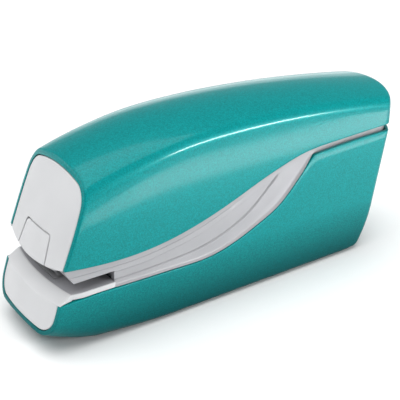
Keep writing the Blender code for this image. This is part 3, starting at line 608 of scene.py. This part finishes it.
LOOKS = {
    "pearl_teal": pearl_paint(),
    "pale_grey": moulded("pale_grey", (0.595, 0.60, 0.61), (0.635, 0.64, 0.65), 0.36),
    "light_grey": moulded("light_grey", (0.35, 0.35, 0.368), (0.39, 0.39, 0.408), 0.42),
    # A darker copy of the grey, used as painted shade on the paper slot's floor.
    "shaded_grey": moulded("shaded_grey", (0.32, 0.32, 0.34), (0.36, 0.36, 0.38), 0.5),
    "satin_plate": moulded("satin_plate", (0.36, 0.36, 0.375), (0.42, 0.42, 0.435), 0.34),
    "dark_plastic": moulded("dark_plastic", (0.016, 0.017, 0.019), (0.028, 0.029, 0.032), 0.48, 1500, 0.01),
    "steel": drawn_metal("steel", (0.62, 0.62, 0.63), (0.50, 0.50, 0.51), 0.28),
    "zinc_plate": drawn_metal("zinc_plate", (0.56, 0.57, 0.58), (0.44, 0.45, 0.47), 0.36, (300, 300, 900)),
    "staple_wire": drawn_metal("staple_wire", (0.74, 0.74, 0.75), (0.58, 0.58, 0.60), 0.24, (25, 2500, 900)),
    "nylon": moulded("nylon", (0.70, 0.67, 0.58), (0.78, 0.75, 0.66), 0.44),
    "brass": drawn_metal("brass", (0.72, 0.50, 0.22), (0.58, 0.38, 0.15), 0.28),
    "rubber": moulded("rubber", (0.018, 0.018, 0.018), (0.035, 0.035, 0.035), 0.78, 1400, 0.02),
    "cell_sleeve": cell_sleeve(),
    "board_green": solder_mask(),
}


# ================================================================ casing
def make_cover():
    halves = [("side", s) for s in shares(12)] + [("shoulder", s) for s in shares(12, 1)]
    crown = [("crown", s) for s in shares(14, 1)]
    stations = shares(110) + [1 + s for s in shares(5, 1)]
    bm = shell_mesh(arch_point, halves, crown, stations, nose_y)
    piece("cover_shell", bm, "casing", "pearl_teal", ["top_cover"], bevel=0.4)


def make_lower_shell():
    halves = [("side", s) for s in shares(12)] + [("bilge", s) for s in shares(8, 1)]
    flat = [("flat", s) for s in shares(8, 1)]
    corner_z = shell_edge(EDGE_CORNER_Y)
    corner_x = side_x(EDGE_CORNER_Y, corner_z)
    front, rear = base_front_y(corner_x, corner_z), rear_y(corner_x, corner_z) - REAR_ROUND
    corner = float((EDGE_CORNER_Y - front) / (rear - front))
    near_corner = [corner + 0.0022 * k for k in range(-7, 8)]
    even = [s for s in shares(110) if abs(s - corner) > 0.019]
    stations = sorted(even + near_corner) + [1 + s for s in shares(5, 1)]
    bm = shell_mesh(keel_point, halves, flat, stations, base_front_y)
    piece("lower_shell", bm, "casing", "pearl_teal", ["bottom_shell"], bevel=0.3, cuts=[block(*BATTERY_HATCH)])


def nose_low_edge(x):
    return NOSE_LOW_Z + NOSE_LOW_BOW * x * x


def door_half(z):
    """Half the magazine door's width at a height, with its top corners rounded."""
    share = (z - DOOR_FOOT_Z) / (DOOR_TOP_Z - DOOR_FOOT_Z)
    half = DOOR_LOW_HALF - max(share, 0) * (DOOR_LOW_HALF - DOOR_TOP_HALF)
    rise = max(z - (DOOR_TOP_Z - DOOR_CORNER), 0.0)
    return half - DOOR_CORNER + math.sqrt(max(DOOR_CORNER**2 - rise**2, 0.0))


def nose_outline():
    """The nose plate's right edge as (x, z) points: the side and shoulder, then the crown."""
    inset = SHELL_WALL + GAP + 0.1
    edge = [("side", s) for s in shares(14)] + [("shoulder", s) for s in shares(12, 1)]
    crown = [("crown", s) for s in shares(12)]
    found = []
    for keys in (edge, crown):
        points = skin(arch_point, keys, [0.0], nose_y, inset, 0.0)[0]
        found.append([(x, z) for x, _, z in points])
    return found


def make_nose_plate():
    edge, crown = nose_outline()
    inner_top = DOOR_TOP_Z + GAP
    crown_x = [x for x, _ in crown][::-1]
    crown_z = [z for _, z in crown][::-1]
    low_half = edge[0][0] - 0.1
    heights = [nose_low_edge(0) + (inner_top - DOOR_CORNER - nose_low_edge(0)) * s for s in shares(10)]
    heights += [inner_top - DOOR_CORNER * (1 - math.sin(s * math.pi / 2)) for s in shares(6, 1)]
    leg, middle = 9, 14
    edge_x, edge_z = [x for x, _ in edge], [z for _, z in edge]
    bm = bmesh.new()

    def vert(x, z):
        return bm.verts.new((x, nose_y(x, z) + GAP, z))

    sides = {1: [], -1: []}
    for z in heights:
        level = (inner_top - z) / (inner_top - heights[0])
        inner = door_half(z - GAP) + GAP
        outer = float(np.interp(z, edge_z, edge_x)) if z > edge_z[0] else low_half
        for side in sides:
            row = []
            for s in shares(leg):
                x = inner + s * (outer - inner)
                row.append(vert(side * x, z + level**2 * (nose_low_edge(x) - nose_low_edge(0))))
            sides[side].append(row)
    for side in sides:
        grid_faces(bm, sides[side])
    right, left = sides[1][-1], sides[-1][-1]
    inner = right[0].co.x
    between = [vert(inner * (1 - 2 * k / middle), inner_top) for k in range(1, middle)]
    rows = [right[::-1] + between + left]
    above = [(x, z) for x, z in edge if z > inner_top + 0.8]
    for k, (x, z) in enumerate(above, 1):
        bulge = (k / len(above)) ** 2
        row = []
        for old in rows[0]:
            a = x * old.co.x / rows[0][0].co.x
            lift = np.interp(abs(a) * crown_x[-1] / x, crown_x, crown_z) - crown_z[-1]
            row.append(vert(a, z + bulge * lift))
        rows.append(row)
    grid_faces(bm, rows)
    thicken(bm, (0, 2.0, 0))
    piece("nose_face", bm, "casing", "pale_grey", ["nose_plate"], bevel=0.3)


def door_y(x, z):
    """The magazine door's outer face: on the nose above its lower edge, along the chin under it."""
    edge = nose_low_edge(x)
    if z >= edge:
        return nose_y(x, z) + GAP
    return nose_y(x, edge) + GAP + (edge - z) * 1.1


def make_magazine_door():
    top = DOOR_TOP_Z - GAP - DOOR_PLAY
    heights = [CHANNEL_LOW_Z + (top - DOOR_CORNER - CHANNEL_LOW_Z) * s for s in shares(26)]
    heights += [top - DOOR_CORNER * (1 - math.sin(s * math.pi / 2)) for s in shares(6, 1)]
    bm = bmesh.new()
    rows = []
    for z in heights:
        half = door_half(z + GAP) - GAP - DOOR_PLAY
        rows.append([bm.verts.new((half * s, door_y(half * s, z), z)) for s in np.linspace(1, -1, 25)])
    grid_faces(bm, rows)
    thicken(bm, (0, 2.0, 0))
    piece("magazine_door", bm, "magazine", "pale_grey", ["magazine_front"], bevel=0.28)
    guides = []
    for side in (-1, 1):
        x0, x1 = sorted((side * (DRIVER_HALF + GAP), side * 10.0))
        guides.append(block(x0, x1, -84.4, CHANNEL_FRONT_Y - GAP, CHANNEL_LOW_Z + 0.1, DOOR_TOP_Z - 1.1))
    piece("magazine_guides", join(*guides), "magazine", "pale_grey", bevel=0.35, by_angle=40)


def insert_rows():
    """Rows of points from the insert's foot, up its front face, over the brow and along the slot's floor."""
    outline = [("bilge", 1 - s) for s in shares(10)] + [("side", 1 - s * 0.5) for s in shares(5, 1)]
    foot = skin(keel_point, outline, [0.0], base_front_y, SHELL_WALL + GAP, 0.0)[0]
    columns = np.linspace(1, -1, 41)
    rows = [[(s * x, base_front_y(s * x, z) + GAP, z) for s in columns] for x, _, z in foot]
    face_half, face_z = foot[-1][0], foot[-1][2]
    brow_z = BROW_Z + BROW_BOW * columns * columns
    for share in shares(5, 1):
        half = face_half + share * (INSERT_FACE_HALF - face_half)
        levels = face_z + share * (brow_z - face_z)
        rows.append([(s * half, base_front_y(s * half, z) + GAP, z) for s, z in zip(columns, levels)])
    rows.append([(s * BROW_HALF, base_front_y(s * BROW_HALF, z) + GAP, z)
                 for s, z in zip(columns, brow_z + BROW_LIP)])
    brow_index = len(rows) - 1
    floor_front = [(x, INSERT_TOP_Y + FRONT_BOW * x**2, SLOT_FLOOR_Z) for x in FLOOR_FRONT_HALF * columns]
    for share in shares(8, 1):
        rows.append([tuple(a + share * (b - a) for a, b in zip(start, end))
                     for start, end in zip(rows[brow_index], floor_front)])
    floor_index = len(rows) - 1
    for share in shares(16, 1):
        row = []
        for s, start in zip(columns, rows[floor_index]):
            y = start[1] + share * (SLOT_END_Y - GAP - start[1])
            wide = float(side_x(y, SLOT_FLOOR_Z)) - 0.5
            half = FLOOR_FRONT_HALF + min(share * 4, 1.0) * (wide - FLOOR_FRONT_HALF)
            row.append((half * s, y, SLOT_FLOOR_Z))
        rows.append(row)
    return rows, brow_index, floor_index


def make_insert():
    """The pale insert: its convex front face, its sloping brow and the paper slot's floor."""
    rows, brow_index, floor_index = insert_rows()
    bm = bmesh.new()
    grid = [[bm.verts.new(point) for point in row] for row in rows]
    grid_faces(bm, grid)
    back = []
    for index, row in enumerate(rows):
        if index <= brow_index:
            share = max(0.0, (index - brow_index + 3) / 3)
            shift, drop = 2.0 - 0.2 * share, 1.1 * share
        elif index <= floor_index:
            share = (index - brow_index) / (floor_index - brow_index)
            shift, drop = 1.8 - share, 1.6 + 0.6 * share
        else:
            shift, drop = 0.8 * max(1 - (index - floor_index) / 4, 0.0), 2.2
        points = [(x, y + shift, z - drop) for x, y, z in row]
        if index >= brow_index:
            points = [(x, y, max(z, float(shell_edge(y)) + 0.4)) for x, y, z in points]
        back.append([bm.verts.new(point) for point in points])
    grid_faces(bm, back)
    for side in (0, -1):
        grid_faces(bm, [[row[side] for row in grid], [row[side] for row in back]])
        grid_faces(bm, [grid[side], back[side]])
        weigh(bm, [row[side] for row in grid], 0.8)
        weigh(bm, grid[side], 0.6)
    weigh(bm, grid[brow_index], 1.0)
    weigh(bm, grid[floor_index], 1.0)
    piece("insert_face", bm, "casing", "pale_grey", ["base_insert"], bevel=0.4, cuts=[block(*ANVIL_POCKET)])
    make_slot_shade_sheet(rows[floor_index:])


def make_slot_shade_sheet(floor_rows):
    """A thin sheet of darker grey on the slot's floor: painted shade where the head above shades the floor."""
    bm = bmesh.new()
    rows = []
    for index, row in enumerate(floor_rows):
        narrow = 1 - 0.55 / row[0][0]
        shift = max(0.5 - 0.3 * index, 0.0)
        rows.append([bm.verts.new((x * narrow, y + shift, z + 0.04)) for x, y, z in row])
    grid_faces(bm, rows)
    thicken(bm, (0, 0, -0.4), 0)
    # Painted shade: the sheet's darker grey stands in for the shade under the head.
    piece("slot_shade_sheet", bm, "casing", "light_grey", look="shaded_grey", cuts=[block(*ANVIL_POCKET)])


def stretch_of(line, y):
    """How much longer a step across a sloping line is when it is measured upright."""
    slope = float((line(y + 0.15) - line(y - 0.15)) / 0.3)
    return math.hypot(1, slope)


def panel_levels(y, low, high):
    """The recessed panel's lower and upper edges. Past the panel's tip they keep their share of the frame."""
    along = min(y, PANEL_TIP_Y)
    tip_low, tip_high = float(shell_edge(along)) + SEAM, float(cover_edge(along)) - SEAM
    share_low = (float(panel_low_line(along)) - tip_low) / (tip_high - tip_low)
    share_high = (float(panel_high_line(along)) - tip_low) / (tip_high - tip_low)
    return low + share_low * (high - low), low + share_high * (high - low)


def frame_profile(y):
    """The side frame's section as (z, inset) pairs: lap, flare, rim, recessed panel, groove, lap."""
    low, high = float(shell_edge(y)) + SEAM, float(cover_edge(y)) - SEAM
    rear = float(blend(y, 34, 48))
    sunk = FRAME_SUNK + (FRAME_SUNK_REAR - FRAME_SUNK) * rear
    lap = max(SHELL_WALL + 0.5, sunk)
    panel_low, panel_high = panel_levels(y, low, high)
    stretch_low = stretch_of(panel_low_line, min(y, PANEL_TIP_Y))
    stretch_high = stretch_of(panel_high_line, min(y, PANEL_TIP_Y))
    open_share = 1 - float(blend(y, PANEL_TIP_Y - 2.5, PANEL_TIP_Y))
    depth = PANEL_DEPTH * open_share

    lip = min(0.65 * stretch_low, (panel_low - low) * 0.3)
    flare_height = min(FLARE_HEIGHT * stretch_of(shell_edge, y), (panel_low - lip - low) * 0.9)
    flare = FLARE_DEPTH * (1 - rear)
    points = [(low - 4, lap), (low - 2, lap), (low, lap)]
    for t in shares(10):
        points.append((low + t * flare_height, sunk - flare * (1 - t) ** 1.6))
    start = points[-1][0]
    for t in shares(3, 1):
        points.append((start + t * (panel_low - lip - start), sunk))

    width = max(panel_high - panel_low, 0.02)
    wall_low = min(0.18 * stretch_low, width * 0.3)
    points.append((panel_low - 0.6 * lip, sunk + 0.2 * open_share))
    points.append((panel_low, sunk + 0.6 * open_share))
    points.append((panel_low + 0.2 * wall_low, sunk + depth + 0.5 * open_share))
    points.append((panel_low + wall_low, sunk + depth + 0.4 * open_share))
    points.append((panel_low + 1.4 * wall_low, sunk + depth))
    start = points[-1][0]
    wall_high = min(0.35 * stretch_high, width * 0.3)
    for t in shares(4, 1):
        points.append((start + t * (panel_high - 1.2 * wall_high - start), sunk + depth))
    points.append((panel_high - wall_high, sunk + depth + 0.25 * open_share))
    points.append((panel_high - 0.15 * wall_high, sunk + 0.06 * open_share))
    points.append((panel_high, sunk))

    groove = min(0.25 * stretch_high, (high - panel_high) * 0.12)
    groove_z = panel_high + 0.52 * (high - panel_high)
    groove_depth = 0.4 * (1 - float(blend(y, -14, 4)))
    points.append((groove_z - groove, sunk + 0.25 * groove_depth))
    points.append((groove_z - 0.2 * groove, sunk + groove_depth))
    points.append((groove_z + 0.2 * groove, sunk))
    start = points[-1][0]
    for t in shares(3, 1):
        points.append((start + t * (high - start), sunk - 0.2 * (1 - rear) * t * t))
    return points + [(high, lap), (high + 2, lap), (high + 4, lap)]


def make_side_frame(name, stands_for, side):
    """A swept frame with the chin over the paper slot. Its stations are close together at the upper corner."""
    stretches = ((-87.5, 36, 108), (36.5, 47, 36), (48, FRAME_REAR_Y, 28))
    stations = [y for stretch in stretches for y in np.linspace(*stretch)]
    bm = bmesh.new()
    outer, inner = [], []
    for y in stations:
        profile = frame_profile(y)
        outer.append([bm.verts.new((side * float(side_x(y, z, inset)), y, z)) for z, inset in profile])
        depth = max(inset for _, inset in profile) + FRAME_WALL
        levels = [z + 0.001 * k for k, (z, _) in enumerate(profile)]
        inner.append([bm.verts.new((side * float(side_x(y, z, depth)), y, z)) for z in levels])
    grid_faces(bm, outer)
    grid_faces(bm, inner)
    for end in (0, -1):
        grid_faces(bm, [outer[end], inner[end]])
        grid_faces(bm, [[row[end] for row in outer], [row[end] for row in inner]])
    x0, x1 = sorted((side * 13.4, side * 23.0))
    chin = block(x0, x1, -90, -74, 31, 38.8)
    chin_top = CHIN_Y + CHIN_SLOPE * (40 - SLOT_ROOF_Z)
    slot = [(-110, 20), (SLOT_END_Y, 20), (SLOT_END_Y, SLOT_ROOF_Z), (CHIN_Y, SLOT_ROOF_Z), (chin_top, 40),
            (-110, 40)]
    nose_room, cover_room = block(-24.6, 24.6, -110, -84.0, 36.4, 60), block(-40, 40, -110, -80.6, 38.9, 60)
    cuts = [prism(slot, "X", -40, 40), nose_room, cover_room]
    piece(name, bm, "casing", "light_grey", [stands_for], cuts=cuts, adds=[chin], sharp=30)


def make_rear_frame():
    """The strip that closes the seam at the back."""
    low, high = float(shell_edge_rear(REAR_Y)) + SEAM, float(cover_edge(REAR_Y)) - SEAM
    bm = bmesh.new()
    rows = []
    for z in (low - 4, low - 2, low, (low + high) / 2, high, high + 2, high + 4):
        xs = REAR_FRAME_HALF * np.linspace(1, -1, 33)
        rows.append([bm.verts.new((x, float(rear_y(x, z)) - REAR_FRAME_INSET, z)) for x in xs])
    grid_faces(bm, rows)
    thicken(bm, (0, -2.2, 0))
    piece("rear_band", bm, "casing", "light_grey", ["rear_frame"], bevel=0.2)


def make_feet():
    profile = [(0, 0.7), (3.6, 0.7), (3.6, 0.22), (3.45, 0.06), (3.2, 0.0), (2.6, 0.0), (2.45, 0.12), (2.2, 0.12),
               (2.05, 0.0), (0, 0.0)]
    for number, (x, y) in enumerate(FEET, 1):
        bm = turned(profile, "Z", (x, y, 0))
        piece(f"foot_{number}", bm, "casing", "rubber", [f"rubber_foot_{number}"])


def make_anvil():
    """The plate with the two hollows that curl the staple's legs."""
    x0, y0, z0, x1, y1, z1 = node_box("anvil_plate")
    middle = (y0 + y1) / 2
    hollows = []
    for side in (-1, 1):
        bm = bmesh.new()
        bmesh.ops.create_uvsphere(bm, u_segments=32, v_segments=20, radius=1.0)
        bmesh.ops.scale(bm, vec=(3.1, 0.75, 0.55), verts=bm.verts)
        bmesh.ops.translate(bm, vec=(side * 3.9, middle, z1 + 0.05), verts=bm.verts)
        hollows.append(bm)
    bm = block(x0, x1, y0, y1, z0, z1)
    piece("anvil", bm, "casing", "steel", ["anvil_plate"], look="satin_plate", bevel=0.22, by_angle=50,
          cuts=hollows)


def make_battery_lid():
    """The lid under the battery bay, with grooves for the thumb."""
    x0, y0, z0, x1, y1, z1 = node_box("battery_door")
    cuts = []
    for k in range(6):
        y = y1 - 6.0 - 1.8 * k
        groove = prism(circle(y, z0 - 0.25, 0.62, 20), "X", -6.5, 6.5)
        cuts.append(groove)
    outline = []
    left, right, front, back = x0 + LID_CORNER, x1 - LID_CORNER, y0 + LID_CORNER, y1 - LID_CORNER
    for cx, cy, start in ((right, back, 0), (left, back, 90), (left, front, 180), (right, front, 270)):
        for s in shares(5):
            angle = math.radians(start + 90 * s)
            outline.append((cx + LID_CORNER * math.cos(angle), cy + LID_CORNER * math.sin(angle)))
    bm = prism(outline, "Z", z0, z1)
    piece("battery_lid", bm, "battery_lid", "pearl_teal", ["battery_door"], bevel=0.3, by_angle=50, cuts=cuts)


# ================================================================ inner parts that show when it is opened
def make_cells():
    for number in (1, 2, 3, 4):
        x0, y0, z0, x1, y1, z1 = node_box(f"battery_cell_{number}")
        radius = (x1 - x0) / 2
        cap = y1 - 1
        profile = [(0, y0 + 0.25), (4.9, y0 + 0.25), (5.2, y0), (6.5, y0), (radius, y0 + 0.6), (radius, cap - 0.7),
                   (radius - 0.25, cap - 0.2), (radius - 0.9, cap), (5.4, cap - 0.05), (5.1, cap - 0.35),
                   (2.75, cap - 0.35), (2.7, y1 - 0.3), (2.4, y1), (0, y1)]
        bm = turned(profile, "Y", ((x0 + x1) / 2, 0, (z0 + z1) / 2), 64)
        piece(f"cell_{number}", bm, "casing", "cell_sleeve", [f"battery_cell_{number}"])


def make_staples():
    """The glued strip: one bent wire after another."""
    x0, y0, z0, x1, y1, z1 = node_box("staple_strip")
    wire, corner, pitch = 0.5, 0.25, 0.515
    outline = [(x1 - wire, z0), (x1, z0)]
    outline += [(x1 - corner + corner * math.cos(a), z1 - corner + corner * math.sin(a)) for a in
                (math.pi / 2 * s for s in shares(3))]
    outer = outline + [(-x, z) for x, z in outline[::-1]]
    inner = [(x0 + wire, z1 - wire), (x1 - wire, z1 - wire)]
    parts = []
    for k in range(int((y1 - y0) / pitch)):
        start = y0 + k * pitch
        bm = prism(outer + inner, "Y", start, start + wire)
        edges = [e for e in bm.edges if abs(e.verts[0].co.y - e.verts[1].co.y) < 1e-6]
        bmesh.ops.bevel(bm, geom=edges, offset=0.07, segments=1, affect="EDGES")
        parts.append(bm)
    piece("staples", join(*parts), "magazine", "staple_wire", ["staple_strip"], sharp=30)


def make_springs():
    """Both coils, each laid along its axis at the length of its CAD spring."""
    low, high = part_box("pusher_spring")
    base = ((low.x + high.x) / 2 / MM, low.y / MM, (low.z + high.z) / 2 / MM)
    length = (high.y - low.y) / MM
    obj = piece("pusher_coil", coil(base, "Y", length, 1.38, 0.19, 14), "magazine", "steel", ["pusher_spring"])
    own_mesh(obj)
    low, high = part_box("return_spring")
    base = (0, (low.y + high.y) / 2 / MM, low.z / MM)
    length = (high.z - low.z) / MM
    obj = piece("return_coil", coil(base, "Z", length, 2.05, 0.33, 5), "casing", "steel", ["return_spring"])
    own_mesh(obj)


def dress_inner_nodes():
    """Every CAD node gets its slot's look. It shows where no finer piece replaces the node."""
    for row in frame["record"]["subparts"]:
        mesh = frame["nodes"][row["node"]].data
        mesh.materials.clear()
        mesh.materials.append(LOOKS[row["material_slot"]])


# ================================================================ studio
def area_light(name, place, target, size, radiance, diffuse=True):
    """A softbox with the given radiance. Its power follows from its size."""
    data = bpy.data.lights.new(name, "AREA")
    data.shape = "RECTANGLE"
    data.size, data.size_y = size
    data.energy = radiance * math.pi * size[0] * size[1]
    light = bpy.data.objects.new(name, data)
    light.location = place
    light.rotation_euler = (Vector(target) - Vector(place)).to_track_quat("-Z", "Y").to_euler()
    light.visible_camera = False
    light.visible_diffuse = diffuse
    bpy.context.scene.collection.objects.link(light)


def make_studio():
    """A pale floor, a broad soft light from above, softboxes, and low strips that fade towards the nose."""
    floor = bpy.data.objects.new("floor", bpy.data.meshes.new("floor"))
    bm = bmesh.new()
    bmesh.ops.create_grid(bm, x_segments=1, y_segments=1, size=6.0)
    bm.to_mesh(floor.data)
    bm.free()
    look = Look("floor")
    fine = look.noise(30, 2)
    look.set(Base_Color=look.tint(fine, (0.86, 0.86, 0.86), (0.88, 0.88, 0.88)), Roughness=0.9)
    floor.data.materials.append(look.material)
    bpy.context.scene.collection.objects.link(floor)

    world = bpy.data.worlds.new("studio")
    bpy.context.scene.world = world
    world.use_nodes = True
    world.node_tree.nodes["Background"].inputs["Color"].default_value = (0.96, 0.98, 1.0, 1)
    world.node_tree.nodes["Background"].inputs["Strength"].default_value = 0.27

    sun = bpy.data.lights.new("overhead", "SUN")
    sun.energy = 2.9
    sun.angle = math.radians(70)
    dome = bpy.data.objects.new("overhead", sun)
    dome.rotation_euler = Vector((0.0, 0.16, -1)).to_track_quat("-Z", "Y").to_euler()
    bpy.context.scene.collection.objects.link(dome)
    area_light("side", (0.65, 0.41, 0.26), (0, 0, 0.06), (0.34, 0.04), 74)
    area_light("glint", (0.65, 0.41, 0.26), (0, 0, 0.06), (0.34, 0.03), 190, diffuse=False)
    area_light("far_card", (-0.74, 0.51, 0.08), (0, 0, 0.08), (1.2, 0.24), 1.1)
    area_light("fill", (-0.60, -0.66, 0.28), (0, -0.08, 0.05), (0.6, 0.3), 1.9)
    strips = ((0.145, 0.21, 12), (0.025, 0.03, 12), (-0.005, 0.03, 9), (-0.035, 0.03, 5))
    for number, (y, length, radiance) in enumerate(strips, 1):
        place, target = (0.15, y, 0.014), (0.0, y, 0.02)
        area_light(f"low_strip_{number}", place, target, (length, 0.02), radiance, diffuse=False)
    bpy.context.scene.view_settings.view_transform = "Standard"


def make_camera():
    azimuth, elevation = math.radians(55.45), math.radians(25.62)
    data = bpy.data.cameras.new("camera")
    data.lens, data.sensor_width = 81.77, 36.0
    data.clip_start = 0.01
    camera = bpy.data.objects.new("camera", data)
    camera.location = (0.3120, -0.2185, 0.2199)
    back = Vector((math.sin(azimuth) * math.cos(elevation), -math.cos(azimuth) * math.cos(elevation),
                   math.sin(elevation)))
    camera.rotation_euler = (-back).to_track_quat("-Z", "Y").to_euler()
    bpy.context.scene.collection.objects.link(camera)
    bpy.context.scene.camera = camera


dress_inner_nodes()
make_cover()
make_lower_shell()
make_nose_plate()
make_magazine_door()
make_insert()
make_side_frame("swoosh_right", "side_frame_right", 1)
make_side_frame("swoosh_left", "side_frame_left", -1)
make_rear_frame()
make_feet()
make_anvil()
make_battery_lid()
make_cells()
make_staples()
make_springs()
make_studio()
make_camera()
